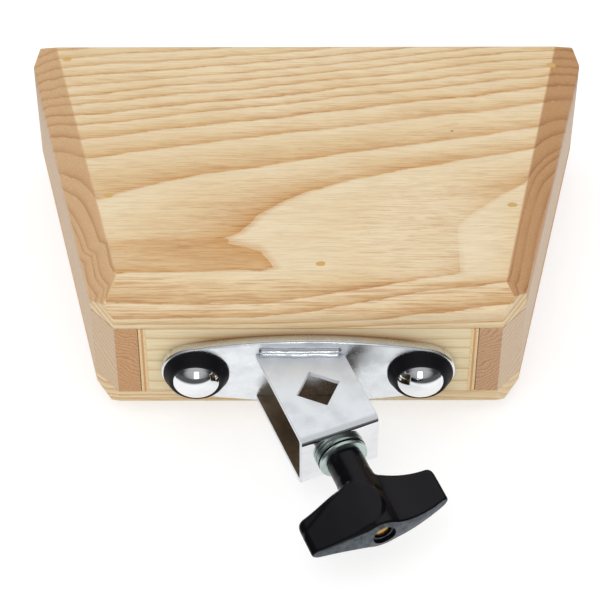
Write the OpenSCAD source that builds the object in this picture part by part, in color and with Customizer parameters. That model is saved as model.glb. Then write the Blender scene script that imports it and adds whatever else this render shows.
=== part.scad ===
// Flared wood block with an open mouth, and a rod clamp on its narrow end.
// The block rests on its bottom panel. Its mouth faces -Y and its clamp +Y.

/* [Block] */
// Width of the block across its clamp end
clamp_end_w = 178; // [160:1:210]
// Width of the block across its open mouth
mouth_w = 253; // [220:1:290]
// Length of the block from its mouth to its clamp end
block_l = 161; // [140:1:200]
// Thickness of the top and bottom panels
panel_t = 19; // [16:0.5:26]
// Height of the walls between the two panels
wall_h = 41.5; // [36:0.5:60]
// Thickness of the two side walls
side_wall_t = 17; // [14:0.5:20]
// Thickness of the plywood strips that line the side walls
liner_t = 3.2; // [2:0.2:6]
// Thickness of the back wall that carries the clamp
back_wall_t = 27; // [22:0.5:36]

/* [Bevels] */
// Reach of the edge bevels across the panel faces
bevel_inset = 11.5; // [6:0.5:15]
// Depth of the edge bevels down the panel sides
bevel_drop = 12.3; // [6:0.1:15]
// Reach of the corner bevels along the end faces
corner_end = 7.6; // [4:0.2:12]
// Reach of the corner bevels along the length of the block
corner_side = 11.4; // [6:0.2:16]

/* [Brads] */
// Radius of a brad's shank
brad_r = 0.8; // [0.6:0.1:1.2]
// Radius of a brad's head
brad_head_r = 1.2; // [1:0.1:1.5]
// Thickness of a brad's head
brad_head_t = 1; // [0.5:0.1:2]
// Length of a brad
brad_l = 32; // [26:1:33]
// Radius of the putty plug over a brad
putty_r = 1.6; // [1.5:0.1:2.5]
// Depth of the putty plug over a brad
putty_t = 3; // [2:0.5:5]
// Distance of the side brads from the block's flank
brad_inset = 14; // [12.5:0.5:16]
// Distance of the first side brad from the mouth
brad_from_mouth = 21; // [16:1:35]
// Distance between the two brads along a side wall
brad_pitch = 84; // [60:1:90]
// Distance of the middle brad from the clamp end
back_brad_inset = 19.5; // [14:0.5:21]

/* [Clamp plate] */
// Distance between the two mount bolts
bolt_spacing = 95; // [88:1:110]
// Radius of the plate's round ends
plate_end_r = 15; // [14.5:0.5:17]
// Half of the plate's height at its middle
plate_half_h = 20.4; // [19:0.2:22]
// Thickness of the plate
plate_t = 4; // [3:0.5:6]
// How far the plate's middle lies below the block's middle
plate_drop = 3.2; // [0:0.2:5]

/* [Mount bolts] */
// Radius of the bolt shank
bolt_r = 4; // [3:0.5:4.5]
// Radius of the domed bolt head
dome_r = 10; // [9:0.5:11]
// Height of the domed bolt head
dome_h = 5; // [4:0.5:7]
// Width of the square neck under the head
square_w = 8; // [7:0.5:8.5]
// Length of the square neck under the head
square_l = 3; // [2:0.5:4]
// Length of the bolt below its head
bolt_l = 50; // [47:1:60]
// Clearance round the bolt in the back wall
bolt_clear = 0.5; // [0.2:0.1:1]
// Radius of the washer inside the block
bolt_washer_r = 12; // [9:0.5:14]
// Thickness of the washer inside the block
bolt_washer_t = 2; // [1:0.5:3]
// Width of the nut across its flats
nut_flats = 13; // [12:0.5:15]
// Thickness of the nut
nut_t = 6.5; // [5:0.5:8]

/* [Rubber bushes] */
// Radius of the bush where it sits on the plate
bush_r = 14; // [13:0.5:14.5]
// Radius of the bush at its top
bush_top_r = 11; // [10.8:0.1:12.5]
// Height of the bush above the plate
bush_h = 5.5; // [5:0.5:7]
// Height of the upright rim at the foot of the bush
bush_rim_h = 1.2; // [0.6:0.2:2]
// Depth of the cup that the bolt head sits in
cup_depth = 0.8; // [0.4:0.2:1.2]
// Radius of the bush's sleeve through the plate
sleeve_r = 6.5; // [6.2:0.1:7.5]

/* [Bracket] */
// Width of the folded bracket
bracket_w = 34.6; // [32:0.2:38]
// Outer height of the folded bracket
bracket_h = 30; // [28:0.5:34]
// Length of the bracket from the plate to its web
bracket_l = 43.4; // [41:0.2:48]
// Thickness of the bracket's sheet
sheet_t = 2.5; // [2:0.1:3]
// Outer radius of the bracket's two bends
bend_r = 3.6; // [3.2:0.1:5]
// Angle by which the bracket leans to one side
bracket_lean = 22.4; // [0:0.2:25]
// Sideways distance of the bracket's foot from the block's middle
bracket_side = 3.5; // [0:0.5:6]
// How far the bracket's middle lies below the plate's middle
bracket_drop = 2.8; // [0:0.2:4]
// Side of the square rod hole, which stands on its corner
rod_hole = 13.6; // [12:0.2:14]
// Distance of the rod hole's centre from the plate
rod_hole_from_plate = 19.6; // [17:0.2:21]
// Radius of the weld bead next to the bracket
bead_r = 1.8; // [1.5:0.1:2.6]
// Radius of the weld bead's second pass
second_bead_r = 1.5; // [1.2:0.1:2]
// Length of the weld beads
bead_l = 35; // [30:0.5:37]

/* [Clamp screw] */
// Radius of the screw's threaded stud
stud_r = 4; // [3:0.5:4.5]
// Running clearance between the stud and the weld nut
thread_clear = 0.05; // [0.02:0.01:0.1]
// Distance of the stud's tip from the plate with the screw home
stud_tip_from_plate = 20.9; // [18:0.1:24]
// Chamfer at both ends of the stud
stud_chamfer = 0.8; // [0.4:0.1:1.2]
// Radius of the weld nut's flange
weld_nut_r = 10.8; // [9.5:0.1:12]
// Thickness of the weld nut's flange
weld_nut_t = 2.1; // [1.5:0.1:3]
// Radius of the weld nut's barrel
barrel_r = 6.5; // [6:0.1:7.5]
// How far the weld nut's barrel stands out inside the web
barrel_inside = 2.5; // [1:0.5:4]
// Gap between the weld nut and the loose washer
nut_gap = 0.5; // [0.3:0.1:1]
// Radius of the loose washer
washer_r = 10.6; // [9:0.1:12]
// Thickness of the loose washer
washer_t = 1.7; // [1:0.1:2.5]
// Clearance between the stud and the loose washer
washer_clear = 0.4; // [0.3:0.1:0.8]
// Rounding of the edges of the two rings
ring_edge = 0.4; // [0.2:0.1:0.6]
// Gap between the loose washer and the knob
knob_gap = 0.3; // [0.3:0.1:0.6]

/* [Knob] */
// Radius of the knob's neck
neck_r = 8; // [7:0.2:9]
// Radius of the knob's boss at its end face
boss_r = 7.8; // [7.5:0.1:9]
// Length of the knob from its neck to the middle of its end face
knob_l = 41.5; // [38:0.5:46]
// Distance of the wing's root from the start of the neck
wing_root = 14; // [12:0.5:17]
// Distance of the wing's tip from the start of the neck
wing_shoulder = 20.2; // [18:0.2:22]
// Half of the knob's span over its wings
wing_half = 30.5; // [27:0.5:32]
// Radius of the hollow curve behind each wing
wing_back_r = 70; // [50:1:100]
// How far the end face falls back from its middle to its tips
end_sag = 4.5; // [3:0.1:6]
// Half of the wing's thickness at its tip
tip_half_t = 2.3; // [1.8:0.1:3]
// Half of the wing's thickness beside the boss
root_half_t = 7.4; // [6.5:0.1:7.4]
// Angle about the screw's axis at which the hollow flanks leave the boss
flank_angle = 50; // [45:1:60]
// Radius of the hollow curve along one flank of each wing
flank_r = 40; // [36:1:60]
// Half of the wing's thickness where its back edge begins
back_half_t = 4.2; // [3:0.1:6]
// Radius of the wing tips' corners
tip_corner_r = 2.6; // [1.5:0.1:3.5]
// Angle of the wings about the screw's axis
knob_turn = 7.7; // [0:0.1:90]
// Radius of the hole in the end face
end_hole_r = 5; // [4.6:0.1:6]
// Depth of the stud's end below the end face
end_hole_depth = 2.6; // [1.5:0.1:5]
// Chamfer at the neck and at the rim of the end hole
knob_chamfer = 0.7; // [0.4:0.1:1.2]

/* [Hidden] */
$fn = 96;

// Overrun of every cut past the face that it opens
over = 2;
// Flare of each flank away from the length of the block
flare = atan((mouth_w - clamp_end_w) / 2 / block_l);
block_h = 2 * panel_t + wall_h;
half_l = block_l / 2;

// Places of the clamp in the block's frame
plate_front_y = half_l + plate_t;
plate_z = block_h / 2 - plate_drop;
bracket_z = plate_z - bracket_drop;
inner_face_y = half_l - back_wall_t;

// Share of a weld bead's radius by which its middle stands in front of the plate
bead_stand_share = 0.25;

// Places along the screw's axis, measured from the front of the plate
washer_at = bracket_l + weld_nut_t + nut_gap;
knob_at = washer_at + washer_t + knob_gap;
stud_end_at = knob_at + knob_l - end_hole_depth;
stud_l = stud_end_at - stud_tip_from_plate;

// Half of the block's width at a place along Y, less a depth measured square to the flank
function half_w(y, depth = 0) =
  (clamp_end_w + mouth_w) / 4 - y * tan(flare) - depth / cos(flare);

// Centre of an arc of radius r from p to q that bulges to the left of that way
function arc_centre(p, q, r) =
  let (d = q - p, n = norm(d), m = (p + q) / 2)
  m + sqrt(r * r - n * n / 4) * [d.y, -d.x] / n;

// Direction of a flat vector, and the points of an arc from one direction to another
function angle_of(v) = atan2(v.y, v.x);
function arc(centre, r, from, to, steps) =
  [for (i = [0 : steps]) let (a = from + (to - from) * i / steps) centre + r * [cos(a), sin(a)]];

// Radius of the arc that has the given half chord and height
function sag_radius(half_chord, sag) = (half_chord * half_chord + sag * sag) / (2 * sag);

// Other leg of a right triangle
function leg(hypotenuse, a) = sqrt(hypotenuse * hypotenuse - a * a);

// Steps in the arcs of the knob's outline, and in circles of a long radius
end_steps = 24;
hollow_steps = 8;
corner_steps = 5;
long_steps = 360;

// Knob's outline square to its wings, with X along the span and Y out along the axis.
// Each tip's two corners touch the tip, and one the hollow back edge, the other the end face.
front_r = sag_radius(wing_half, end_sag);
front_centre = [0, knob_l - front_r];
hollow_centre = arc_centre([neck_r, wing_root], [wing_half, wing_shoulder], wing_back_r);
corner_x = wing_half - tip_corner_r;
back_corner = [
  corner_x,
  hollow_centre.y + leg(wing_back_r + tip_corner_r, hollow_centre.x - corner_x)
];
end_corner = [corner_x, front_centre.y + leg(front_r - tip_corner_r, corner_x)];
end_angle = angle_of(end_corner - front_centre);
end_edge = arc(front_centre, front_r, end_angle, 180 - end_angle, end_steps);
tip_edge = concat(
  arc(
    hollow_centre, wing_back_r,
    angle_of([neck_r, wing_root] - hollow_centre), angle_of(back_corner - hollow_centre),
    hollow_steps
  ),
  arc(back_corner, tip_corner_r, angle_of(hollow_centre - back_corner), 0, corner_steps),
  arc(end_corner, tip_corner_r, 0, end_angle, corner_steps)
);

ash = [0.86, 0.71, 0.51];
ash_dark = [0.76, 0.58, 0.4];
pine = [0.93, 0.82, 0.6];
ply = [0.94, 0.84, 0.66];
putty = [0.9, 0.72, 0.35];
chrome = [0.82, 0.84, 0.86];
zinc = [0.72, 0.79, 0.76];
gold_zinc = [0.8, 0.6, 0.25];
rubber = [0.1, 0.1, 0.12];
plastic = [0.07, 0.07, 0.08];

// Block

module block_outline() {
  polygon([
    for (s = [1, -1]) each [
      for (i = [0 : 3]) let (k = s > 0 ? i : 3 - i) [
        [s * (clamp_end_w / 2 - corner_end), half_l],
        [s * half_w(half_l - corner_side), half_l - corner_side],
        [s * half_w(corner_side - half_l), corner_side - half_l],
        [s * (mouth_w / 2 - corner_end), -half_l]
      ][k]
    ]
  ]);
}

// Everything outside one bevel, whose edge runs along X at the origin's top face
module bevel_cut(length) {
  slope = bevel_drop / bevel_inset;
  rotate([90, 0, 90])
    linear_extrude(length, center = true)
      polygon([
        [over, -bevel_drop - over * slope],
        [-bevel_inset - over / slope, over],
        [over, over]
      ]);
}

module panel() {
  difference() {
    linear_extrude(panel_t) block_outline();
    for (side = [0, 180])
      rotate([0, 0, side])
        translate([0, half_l, panel_t])
          bevel_cut(mouth_w + over);
    for (s = [1, -1])
      translate([s * half_w(0), 0, panel_t])
        rotate([0, 0, -s * (90 - flare)])
          bevel_cut(2 * block_l);
  }
}

// Places of the brads in a panel, seen from above
module at_brads() {
  for (s = [1, -1], d = [brad_from_mouth, brad_from_mouth + brad_pitch])
    translate([s * half_w(d - half_l, brad_inset), d - half_l])
      children();
  translate([0, half_l - back_brad_inset])
    children();
}

// One brad with its head up, as far below the face as the putty is deep
module brad() {
  translate([0, 0, -putty_t]) {
    translate([0, 0, -brad_head_t]) cylinder(h = brad_head_t, r = brad_head_r);
    translate([0, 0, -brad_l]) cylinder(h = brad_l, r = brad_r);
  }
}

module putty_plug() {
  translate([0, 0, -putty_t]) cylinder(h = putty_t, r = putty_r);
}

// Children set on the top face, or mirrored onto the bottom face
module on_face(top) {
  if (top) translate([0, 0, block_h]) children();
  else mirror([0, 0, 1]) children();
}

module brads(top) {
  on_face(top) at_brads() brad();
}

module putty_plugs(top) {
  on_face(top) at_brads() putty_plug();
}

module faced_panel(top) {
  difference() {
    on_face(top) translate([0, 0, -panel_t]) panel();
    brads(top);
    putty_plugs(top);
  }
}

module top_panel() {
  color(ash) faced_panel(true);
}

module bottom_panel() {
  color(ash) faced_panel(false);
}

// A board that stands on the bottom panel between two depths from the flank
module flank_board(s, near, far) {
  difference() {
    translate([0, 0, panel_t])
      linear_extrude(wall_h)
        intersection() {
          block_outline();
          polygon([
            [s * half_w(half_l, far), half_l],
            [s * half_w(half_l, near), half_l],
            [s * half_w(-half_l, near), -half_l],
            [s * half_w(-half_l, far), -half_l]
          ]);
        }
    brads(true);
    brads(false);
  }
}

module left_wall() {
  color(ash_dark) flank_board(-1, 0, side_wall_t);
}

module right_wall() {
  color(ash_dark) flank_board(1, 0, side_wall_t);
}

module left_liner() {
  color(ply) flank_board(-1, side_wall_t, side_wall_t + liner_t);
}

module right_liner() {
  color(ply) flank_board(1, side_wall_t, side_wall_t + liner_t);
}

module back_wall() {
  depth = side_wall_t + liner_t;
  color(pine)
    difference() {
      translate([0, 0, panel_t])
        linear_extrude(wall_h)
          polygon([
            for (s = [1, -1]) each [
              [s * half_w(s > 0 ? inner_face_y : half_l, depth), s > 0 ? inner_face_y : half_l],
              [s * half_w(s > 0 ? half_l : inner_face_y, depth), s > 0 ? half_l : inner_face_y]
            ]
          ]);
      at_bolts()
        translate([0, 0, -plate_front_y])
          cylinder(h = plate_front_y + over, r = bolt_r + bolt_clear);
      brads(true);
      brads(false);
    }
}

module top_brads() {
  color(zinc) brads(true);
}

module bottom_brads() {
  color(zinc) brads(false);
}

module top_putty() {
  color(putty) putty_plugs(true);
}

module bottom_putty() {
  color(putty) putty_plugs(false);
}

// Clamp plate and its bolts

// Frame of one mount bolt: its axis is Z, which points out of the clamp end, from the plate's front
module at_bolt(s) {
  translate([s * bolt_spacing / 2, plate_front_y, plate_z])
    rotate([-90, 0, 0])
      children();
}

module at_bolts() {
  for (s = [1, -1]) at_bolt(s) children();
}

// Long sides are arcs that run into the round ends
module plate_outline() {
  reach = bolt_spacing / 2;
  rise = plate_half_h - plate_end_r;
  side_r = (reach * reach + plate_half_h * plate_half_h - plate_end_r * plate_end_r) / (2 * rise);
  touch = atan(reach / (side_r - plate_half_h));
  touch_x = side_r * sin(touch);
  intersection() {
    translate([0, plate_half_h - side_r]) circle(side_r, $fn = long_steps);
    translate([0, side_r - plate_half_h]) circle(side_r, $fn = long_steps);
    square([2 * touch_x, 2 * plate_half_h], center = true);
  }
  for (s = [1, -1]) translate([s * reach, 0]) circle(plate_end_r);
}

module clamp_plate() {
  color(chrome)
    difference() {
      translate([0, half_l, plate_z])
        rotate([-90, 0, 0])
          linear_extrude(plate_t) plate_outline();
      at_bolts()
        translate([0, 0, -plate_t - over])
          cylinder(h = plate_t + 2 * over, r = sleeve_r);
    }
}

module bush(s) {
  color(rubber)
    at_bolt(s)
      difference() {
        rotate_extrude()
          polygon([
            [bolt_r, -plate_t],
            [sleeve_r, -plate_t],
            [sleeve_r, 0],
            [bush_r, 0],
            [bush_r, bush_rim_h],
            [bush_top_r, bush_h],
            [dome_r, bush_h],
            [dome_r, bush_h - cup_depth],
            [bolt_r, bush_h - cup_depth]
          ]);
        translate([0, 0, bush_h - cup_depth]) square_neck();
      }
}

module left_bush() {
  bush(-1);
}

module right_bush() {
  bush(1);
}

module square_neck() {
  translate([-square_w / 2, -square_w / 2, -square_l])
    cube([square_w, square_w, square_l]);
}

// Domed heads with an upright rim as deep as the cup, on shanks with a square neck
module mount_bolts() {
  crown_r = sag_radius(dome_r, dome_h - cup_depth);
  color(chrome)
    at_bolts()
      translate([0, 0, bush_h - cup_depth]) {
        cylinder(h = cup_depth, r = dome_r);
        intersection() {
          translate([0, 0, dome_h - crown_r]) sphere(crown_r);
          cylinder(h = dome_h, r = dome_r);
        }
        square_neck();
        translate([0, 0, -bolt_l]) cylinder(h = bolt_l, r = bolt_r);
      }
}

module bolt_washers() {
  color(zinc)
    at_bolts()
      translate([0, 0, -plate_t - back_wall_t - bolt_washer_t])
        difference() {
          cylinder(h = bolt_washer_t, r = bolt_washer_r);
          translate([0, 0, -over]) cylinder(h = bolt_washer_t + 2 * over, r = bolt_r);
        }
}

// Six-sided nut whose corners are turned down on both faces
module hex_nut() {
  corner_r = nut_flats / 2 / cos(30);
  turned = corner_r - nut_flats / 2;
  difference() {
    intersection() {
      cylinder(h = nut_t, r = corner_r, $fn = 6);
      rotate_extrude()
        polygon([
          [0, 0],
          [nut_flats / 2, 0],
          [corner_r, turned / 2],
          [corner_r, nut_t - turned / 2],
          [nut_flats / 2, nut_t],
          [0, nut_t]
        ]);
    }
    translate([0, 0, -over]) cylinder(h = nut_t + 2 * over, r = bolt_r);
  }
}

module bolt_nuts() {
  color(zinc)
    at_bolts()
      translate([0, 0, -plate_t - back_wall_t - bolt_washer_t - nut_t])
        hex_nut();
}

// Bracket

// Frame of the bracket: Y runs out along its axis from the plate's front
module at_bracket() {
  translate([bracket_side, plate_front_y, bracket_z])
    rotate([0, 0, bracket_lean])
      children();
}

// Frame of the screw: Z runs out along its axis, from a distance in front of the plate
module on_axis(d) {
  at_bracket()
    translate([0, d, 0])
      rotate([-90, 0, 0])
        children();
}

// Side view of the fold, with X out along the axis: two flanges, two bends and the web
module fold_profile(back) {
  inner_r = bend_r - sheet_t;
  module rounded(inset, r) {
    front = bracket_l - inset;
    half_h = bracket_h / 2 - inset;
    translate([-back, -half_h]) square([back + front - r, 2 * half_h]);
    translate([front - r, r - half_h]) square([r, 2 * (half_h - r)]);
    for (s = [1, -1]) translate([front - r, s * (half_h - r)]) circle(r);
  }
  difference() {
    rounded(0, bend_r);
    translate([-over, 0]) rounded(sheet_t, inner_r);
    translate([-back - over, sheet_t - bracket_h / 2])
      square([back + over, bracket_h - 2 * sheet_t]);
    translate([-over, sheet_t - bracket_h / 2])
      square([bracket_l - sheet_t - inner_r + over, bracket_h - 2 * sheet_t]);
    translate([-over, sheet_t + inner_r - bracket_h / 2])
      square([bracket_l - sheet_t + over, bracket_h - 2 * (sheet_t + inner_r)]);
  }
}

module clamp_bracket() {
  back = bracket_w * tan(bracket_lean) + over;
  color(chrome)
    difference() {
      at_bracket()
        difference() {
          rotate([90, 0, 90])
            linear_extrude(bracket_w, center = true) fold_profile(back);
          translate([0, rod_hole_from_plate, 0])
            rotate([0, 0, 45])
              cube([rod_hole, rod_hole, bracket_h + 2 * over], center = true);
        }
      translate([-mouth_w / 2, -half_l, 0]) cube([mouth_w, half_l + plate_front_y, block_h]);
      on_axis(bracket_l - sheet_t - over) cylinder(h = sheet_t + 2 * over, r = barrel_r);
    }
}

// Beads along the flanges' feet, cut back to the plate and the bracket
module weld_beads() {
  foot = bracket_h / 2;
  half_bead = bead_l / 2;
  module pass(r, z) {
    translate([bracket_side - half_bead, plate_front_y + r * bead_stand_share, bracket_z + z])
      rotate([0, 90, 0])
        rotate_extrude()
          intersection() {
            union() {
              translate([0, r]) square([r, bead_l - 2 * r]);
              for (end = [r, bead_l - r]) translate([0, end]) circle(r);
            }
            square([r, bead_l]);
          }
  }
  color(chrome)
    difference() {
      union() {
        pass(bead_r, foot + bead_r / 2);
        pass(second_bead_r, foot + bead_r + second_bead_r / 2);
        pass(second_bead_r, -foot);
      }
      translate([-mouth_w / 2, -half_l, 0]) cube([mouth_w, half_l + plate_front_y, block_h]);
      at_bracket()
        translate([-bracket_w / 2 - bead_l, -bracket_w, -foot])
          cube([bracket_w + 2 * bead_l, bracket_w + bracket_l, bracket_h]);
    }
}

// Clamp screw

// Flat ring with rounded outer edges
module ring(r, bore, t) {
  rotate_extrude() {
    polygon([
      [bore, 0],
      [r - ring_edge, 0],
      [r, ring_edge],
      [r, t - ring_edge],
      [r - ring_edge, t],
      [bore, t]
    ]);
    for (z = [ring_edge, t - ring_edge]) translate([r - ring_edge, z]) circle(ring_edge);
  }
}

module weld_nut() {
  bore = stud_r + thread_clear;
  barrel_l = sheet_t + barrel_inside;
  color(zinc)
    on_axis(bracket_l) {
      ring(weld_nut_r, bore, weld_nut_t);
      translate([0, 0, -barrel_l])
        difference() {
          cylinder(h = barrel_l, r = barrel_r);
          translate([0, 0, -over]) cylinder(h = barrel_l + 2 * over, r = bore);
        }
    }
}

module screw_washer() {
  color(zinc)
    on_axis(washer_at)
      ring(washer_r, stud_r + washer_clear, washer_t);
}

module knob_stud() {
  color(gold_zinc)
    on_axis(stud_tip_from_plate)
      rotate_extrude()
        polygon([
          [0, 0],
          [stud_r - stud_chamfer, 0],
          [stud_r, stud_chamfer],
          [stud_r, stud_l - stud_chamfer],
          [stud_r - stud_chamfer, stud_l],
          [0, stud_l]
        ]);
}

// Wings seen square to their flanks: X along the span, Y out along the axis
module wing_plan() {
  polygon(concat(
    tip_edge,
    [for (i = [1 : len(end_edge) - 2]) end_edge[i]],
    [for (i = [len(tip_edge) - 1 : -1 : 0]) [-tip_edge[i].x, tip_edge[i].y]]));
}

// Everything behind the end face
module behind_end_face() {
  rotate([90, 0, 0])
    linear_extrude(3 * boss_r, center = true)
      polygon(concat(end_edge, [[-wing_half, -over], [wing_half, -over]]));
}

// Wings seen along the screw's axis: each has a straight flank on one side and a hollow flank on the other.
// The knob looks the same after half a turn, so its two straight flanks are on opposite sides.
module wing_eye() {
  hollow = arc_centre([wing_half, tip_half_t], boss_r * [cos(flank_angle), sin(flank_angle)], flank_r);
  reach = wing_half + over;
  edge = tip_half_t - over * (root_half_t - tip_half_t) / (wing_half - boss_r);
  half = [[-boss_r, root_half_t], [-reach, edge], [-reach, -root_half_t]];
  difference() {
    polygon(concat(half, -1 * half));
    for (turn = [0, 180]) rotate(turn) translate(hollow) circle(flank_r, $fn = long_steps);
  }
}

// Wings seen along their span: X out along the axis, rounded off towards the back edge
module wing_side() {
  full_at = wing_root + boss_r;
  back_r = sag_radius(full_at - wing_root, root_half_t - back_half_t);
  intersection() {
    translate([full_at, root_half_t - back_r]) circle(back_r);
    translate([full_at, back_r - root_half_t]) circle(back_r);
    translate([wing_root - over, -root_half_t]) square([full_at + over - wing_root, 2 * root_half_t]);
  }
  translate([full_at, -root_half_t]) square([knob_l, 2 * root_half_t]);
}

module wings() {
  intersection() {
    rotate([90, 0, 0])
      linear_extrude(2 * boss_r, center = true) wing_plan();
    linear_extrude(knob_l + over) wing_eye();
    rotate([0, -90, 0])
      linear_extrude(2 * (wing_half + over), center = true) wing_side();
  }
}

module wing_knob() {
  color(plastic)
    on_axis(knob_at)
      rotate([0, 0, knob_turn])
        difference() {
          union() {
            wings();
            intersection() {
              rotate_extrude()
                polygon([
                  [0, 0],
                  [neck_r - knob_chamfer, 0],
                  [neck_r, knob_chamfer],
                  [neck_r, wing_root],
                  [boss_r, wing_root + boss_r],
                  [boss_r, knob_l],
                  [0, knob_l]
                ]);
              behind_end_face();
            }
          }
          translate([0, 0, -over]) cylinder(h = knob_l, r = stud_r);
          translate([0, 0, knob_l - end_hole_depth]) cylinder(h = end_hole_depth + over, r = end_hole_r);
          translate([0, 0, knob_l - knob_chamfer])
            cylinder(h = knob_chamfer, r1 = end_hole_r, r2 = end_hole_r + knob_chamfer);
        }
}

top_panel();
bottom_panel();
left_wall();
right_wall();
left_liner();
right_liner();
back_wall();
top_brads();
bottom_brads();
top_putty();
bottom_putty();
clamp_plate();
clamp_bracket();
weld_beads();
left_bush();
right_bush();
mount_bolts();
bolt_washers();
bolt_nuts();
weld_nut();
screw_washer();
wing_knob();
knob_stud();
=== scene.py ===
"""Looks of the wood block and its rod clamp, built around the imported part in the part's own frame.

Sizes are written in millimetres and turned into metres by MM.
The image's left is +X, the clamp end +Y and up +Z.
"""
import math

import bmesh
import bpy
import numpy as np
from mathutils import Matrix, Vector, noise


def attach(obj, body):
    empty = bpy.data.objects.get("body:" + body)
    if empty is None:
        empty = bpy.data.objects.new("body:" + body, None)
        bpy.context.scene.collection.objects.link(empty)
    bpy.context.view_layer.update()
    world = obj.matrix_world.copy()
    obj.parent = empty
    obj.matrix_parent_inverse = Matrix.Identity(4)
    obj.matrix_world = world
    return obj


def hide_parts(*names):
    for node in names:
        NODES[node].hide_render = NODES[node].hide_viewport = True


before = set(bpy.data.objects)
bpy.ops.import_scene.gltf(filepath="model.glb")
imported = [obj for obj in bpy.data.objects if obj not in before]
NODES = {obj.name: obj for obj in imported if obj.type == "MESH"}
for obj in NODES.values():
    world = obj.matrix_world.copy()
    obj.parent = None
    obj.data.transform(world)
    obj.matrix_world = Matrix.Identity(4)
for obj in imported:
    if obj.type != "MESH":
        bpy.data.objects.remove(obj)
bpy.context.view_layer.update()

MM = 0.001
ROUND_STEPS = 96
HAIR = 0.02  # keeps two faces apart that would lie in one place

# Block, as in the part's source
CLAMP_END_W, MOUTH_W, BLOCK_L = 178, 253, 161
PANEL_T, WALL_H, BLOCK_H = 19, 41.5, 79.5
SIDE_WALL_T, LINER_T = 17, 3.2
BEVEL_INSET, BEVEL_DROP = 11.5, 12.3
CORNER_END, CORNER_SIDE = 7.6, 11.4
HALF_L = BLOCK_L / 2
FLARE = math.atan((MOUTH_W - CLAMP_END_W) / 2 / BLOCK_L)
WALL_FOOT, WALL_TOP = PANEL_T, PANEL_T + WALL_H
BOARD_GAP = 0.12

# The photo's top panel was bevelled by hand: reach of each bevel at its two ends
SIDE_BEVEL_LEFT = (10.8, 11.7)
SIDE_BEVEL_RIGHT = (12.0, 8.3)
CLAMP_BEVEL = (13.4, 9.1)

# Putty plugs in the playing face
PUTTY_SPOTS = [(107.4, -61.5), (85.4, 21.7), (-109.0, -57.1), (-87.2, 27.5), (-5.2, 60.6)]
PUTTY_HALF_L, PUTTY_HALF_W, PUTTY_T = 2.3, 1.45, 3
FILLER_STAND = 0.03

# Clamp
BOLT_SPACING, PLATE_END_R, PLATE_HALF_H, PLATE_T = 95, 15, 20.4, 4
PLATE_FRONT_Y = HALF_L + PLATE_T
PLATE_RISE = PLATE_HALF_H - PLATE_END_R
PLATE_SIDE_R = (BOLT_SPACING ** 2 / 4 + PLATE_HALF_H ** 2 - PLATE_END_R ** 2) / (2 * PLATE_RISE)
PLATE_EDGE_R = 1.1
PLATE_Z, BRACKET_Z = 36.55, 33.75
BOLT_R, DOME_R, DOME_H, SQUARE_W, SQUARE_L, BOLT_L = 4, 10, 5, 8, 3, 50
RIM_EDGE, THREAD_DEPTH = 0.25, 0.6
BUSH_R, BUSH_TOP_R, BUSH_H, BUSH_RIM_H, CUP_DEPTH, SLEEVE_R = 14, 11, 5.5, 1.2, 0.8, 6.5
BRACKET_W, BRACKET_H, BRACKET_L, SHEET_T, BEND_R = 34.6, 30, 43.4, 2.5, 3.6
BRACKET_LEAN, BRACKET_SIDE = math.radians(22.4), 3.5
ROD_HOLE, ROD_HOLE_AT = 13.6, 19.6
BEAD_R, SECOND_BEAD_R, BEAD_L = 1.8, 1.5, 35
BEAD_STAND_SHARE, BEAD_SINK, BEAD_SLIM = 0.25, 0.15, 0.97
SOFT_BEND_ROWS = 6

# Clamp screw, measured along its axis from the front of the plate
STUD_R, STUD_TIP_AT, STUD_CHAMFER, STUD_THREAD_DEPTH, PITCH = 4, 20.9, 0.8, 0.62, 1.25
WELD_NUT_R, WELD_NUT_T, BARREL_R, BARREL_INSIDE = 10.8, 2.1, 6.5, 2.5
WASHER_R, WASHER_T, RING_SOFT = 10.6, 1.7, 0.35
WASHER_AT, KNOB_AT = 46, 48
KNOB_L, NECK_R, BOSS_R = 41.5, 8, 7.8
WING_ROOT, WING_SHOULDER, WING_HALF, WING_BACK_R, END_SAG = 14, 20.2, 30.5, 70, 4.5
TIP_HALF_T, ROOT_HALF_T, BACK_HALF_T, FLANK_R, FLANK_ANGLE = 2.3, 7.4, 4.2, 40, math.radians(50)
THIN_L = 9.4
LOBE_X, LOBE_Z, LOBE_R, LOBE_HALF_T, HOLLOW_TOP, END_ROUND = 6.7, 27.4, 12.0, 8.3, 6.3, 24
KNOB_TURN, KNOB_TRIM = math.radians(7.7), 0.04
END_HOLE_R, END_HOLE_DEPTH = 5, 2.6
STUD_END_AT = KNOB_AT + KNOB_L - END_HOLE_DEPTH


def half_w(y, depth=0.0):
    """Half of the block's width at a place along Y, less a depth measured square to the flank."""
    return (CLAMP_END_W + MOUTH_W) / 4 - y * math.tan(FLARE) - depth / math.cos(FLARE)


# Frames of the clamp

def bolt_frame(side):
    """Frame of a mount bolt at the plate's front, with Z along its axis and out of the clamp end."""
    place = Vector((side * BOLT_SPACING / 2, PLATE_FRONT_Y, PLATE_Z))
    return Matrix.Translation(place) @ Matrix.Rotation(-math.pi / 2, 4, "X")


def bracket_frame():
    """Frame of the bracket at the plate's front, with Y out along its axis."""
    place = Vector((BRACKET_SIDE, PLATE_FRONT_Y, BRACKET_Z))
    return Matrix.Translation(place) @ Matrix.Rotation(BRACKET_LEAN, 4, "Z")


def axis_frame(along):
    """Frame of the screw with Z out along its axis, from a distance in front of the plate."""
    return bracket_frame() @ Matrix.Translation((0, along, 0)) @ Matrix.Rotation(-math.pi / 2, 4, "X")


# Mesh tools

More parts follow.
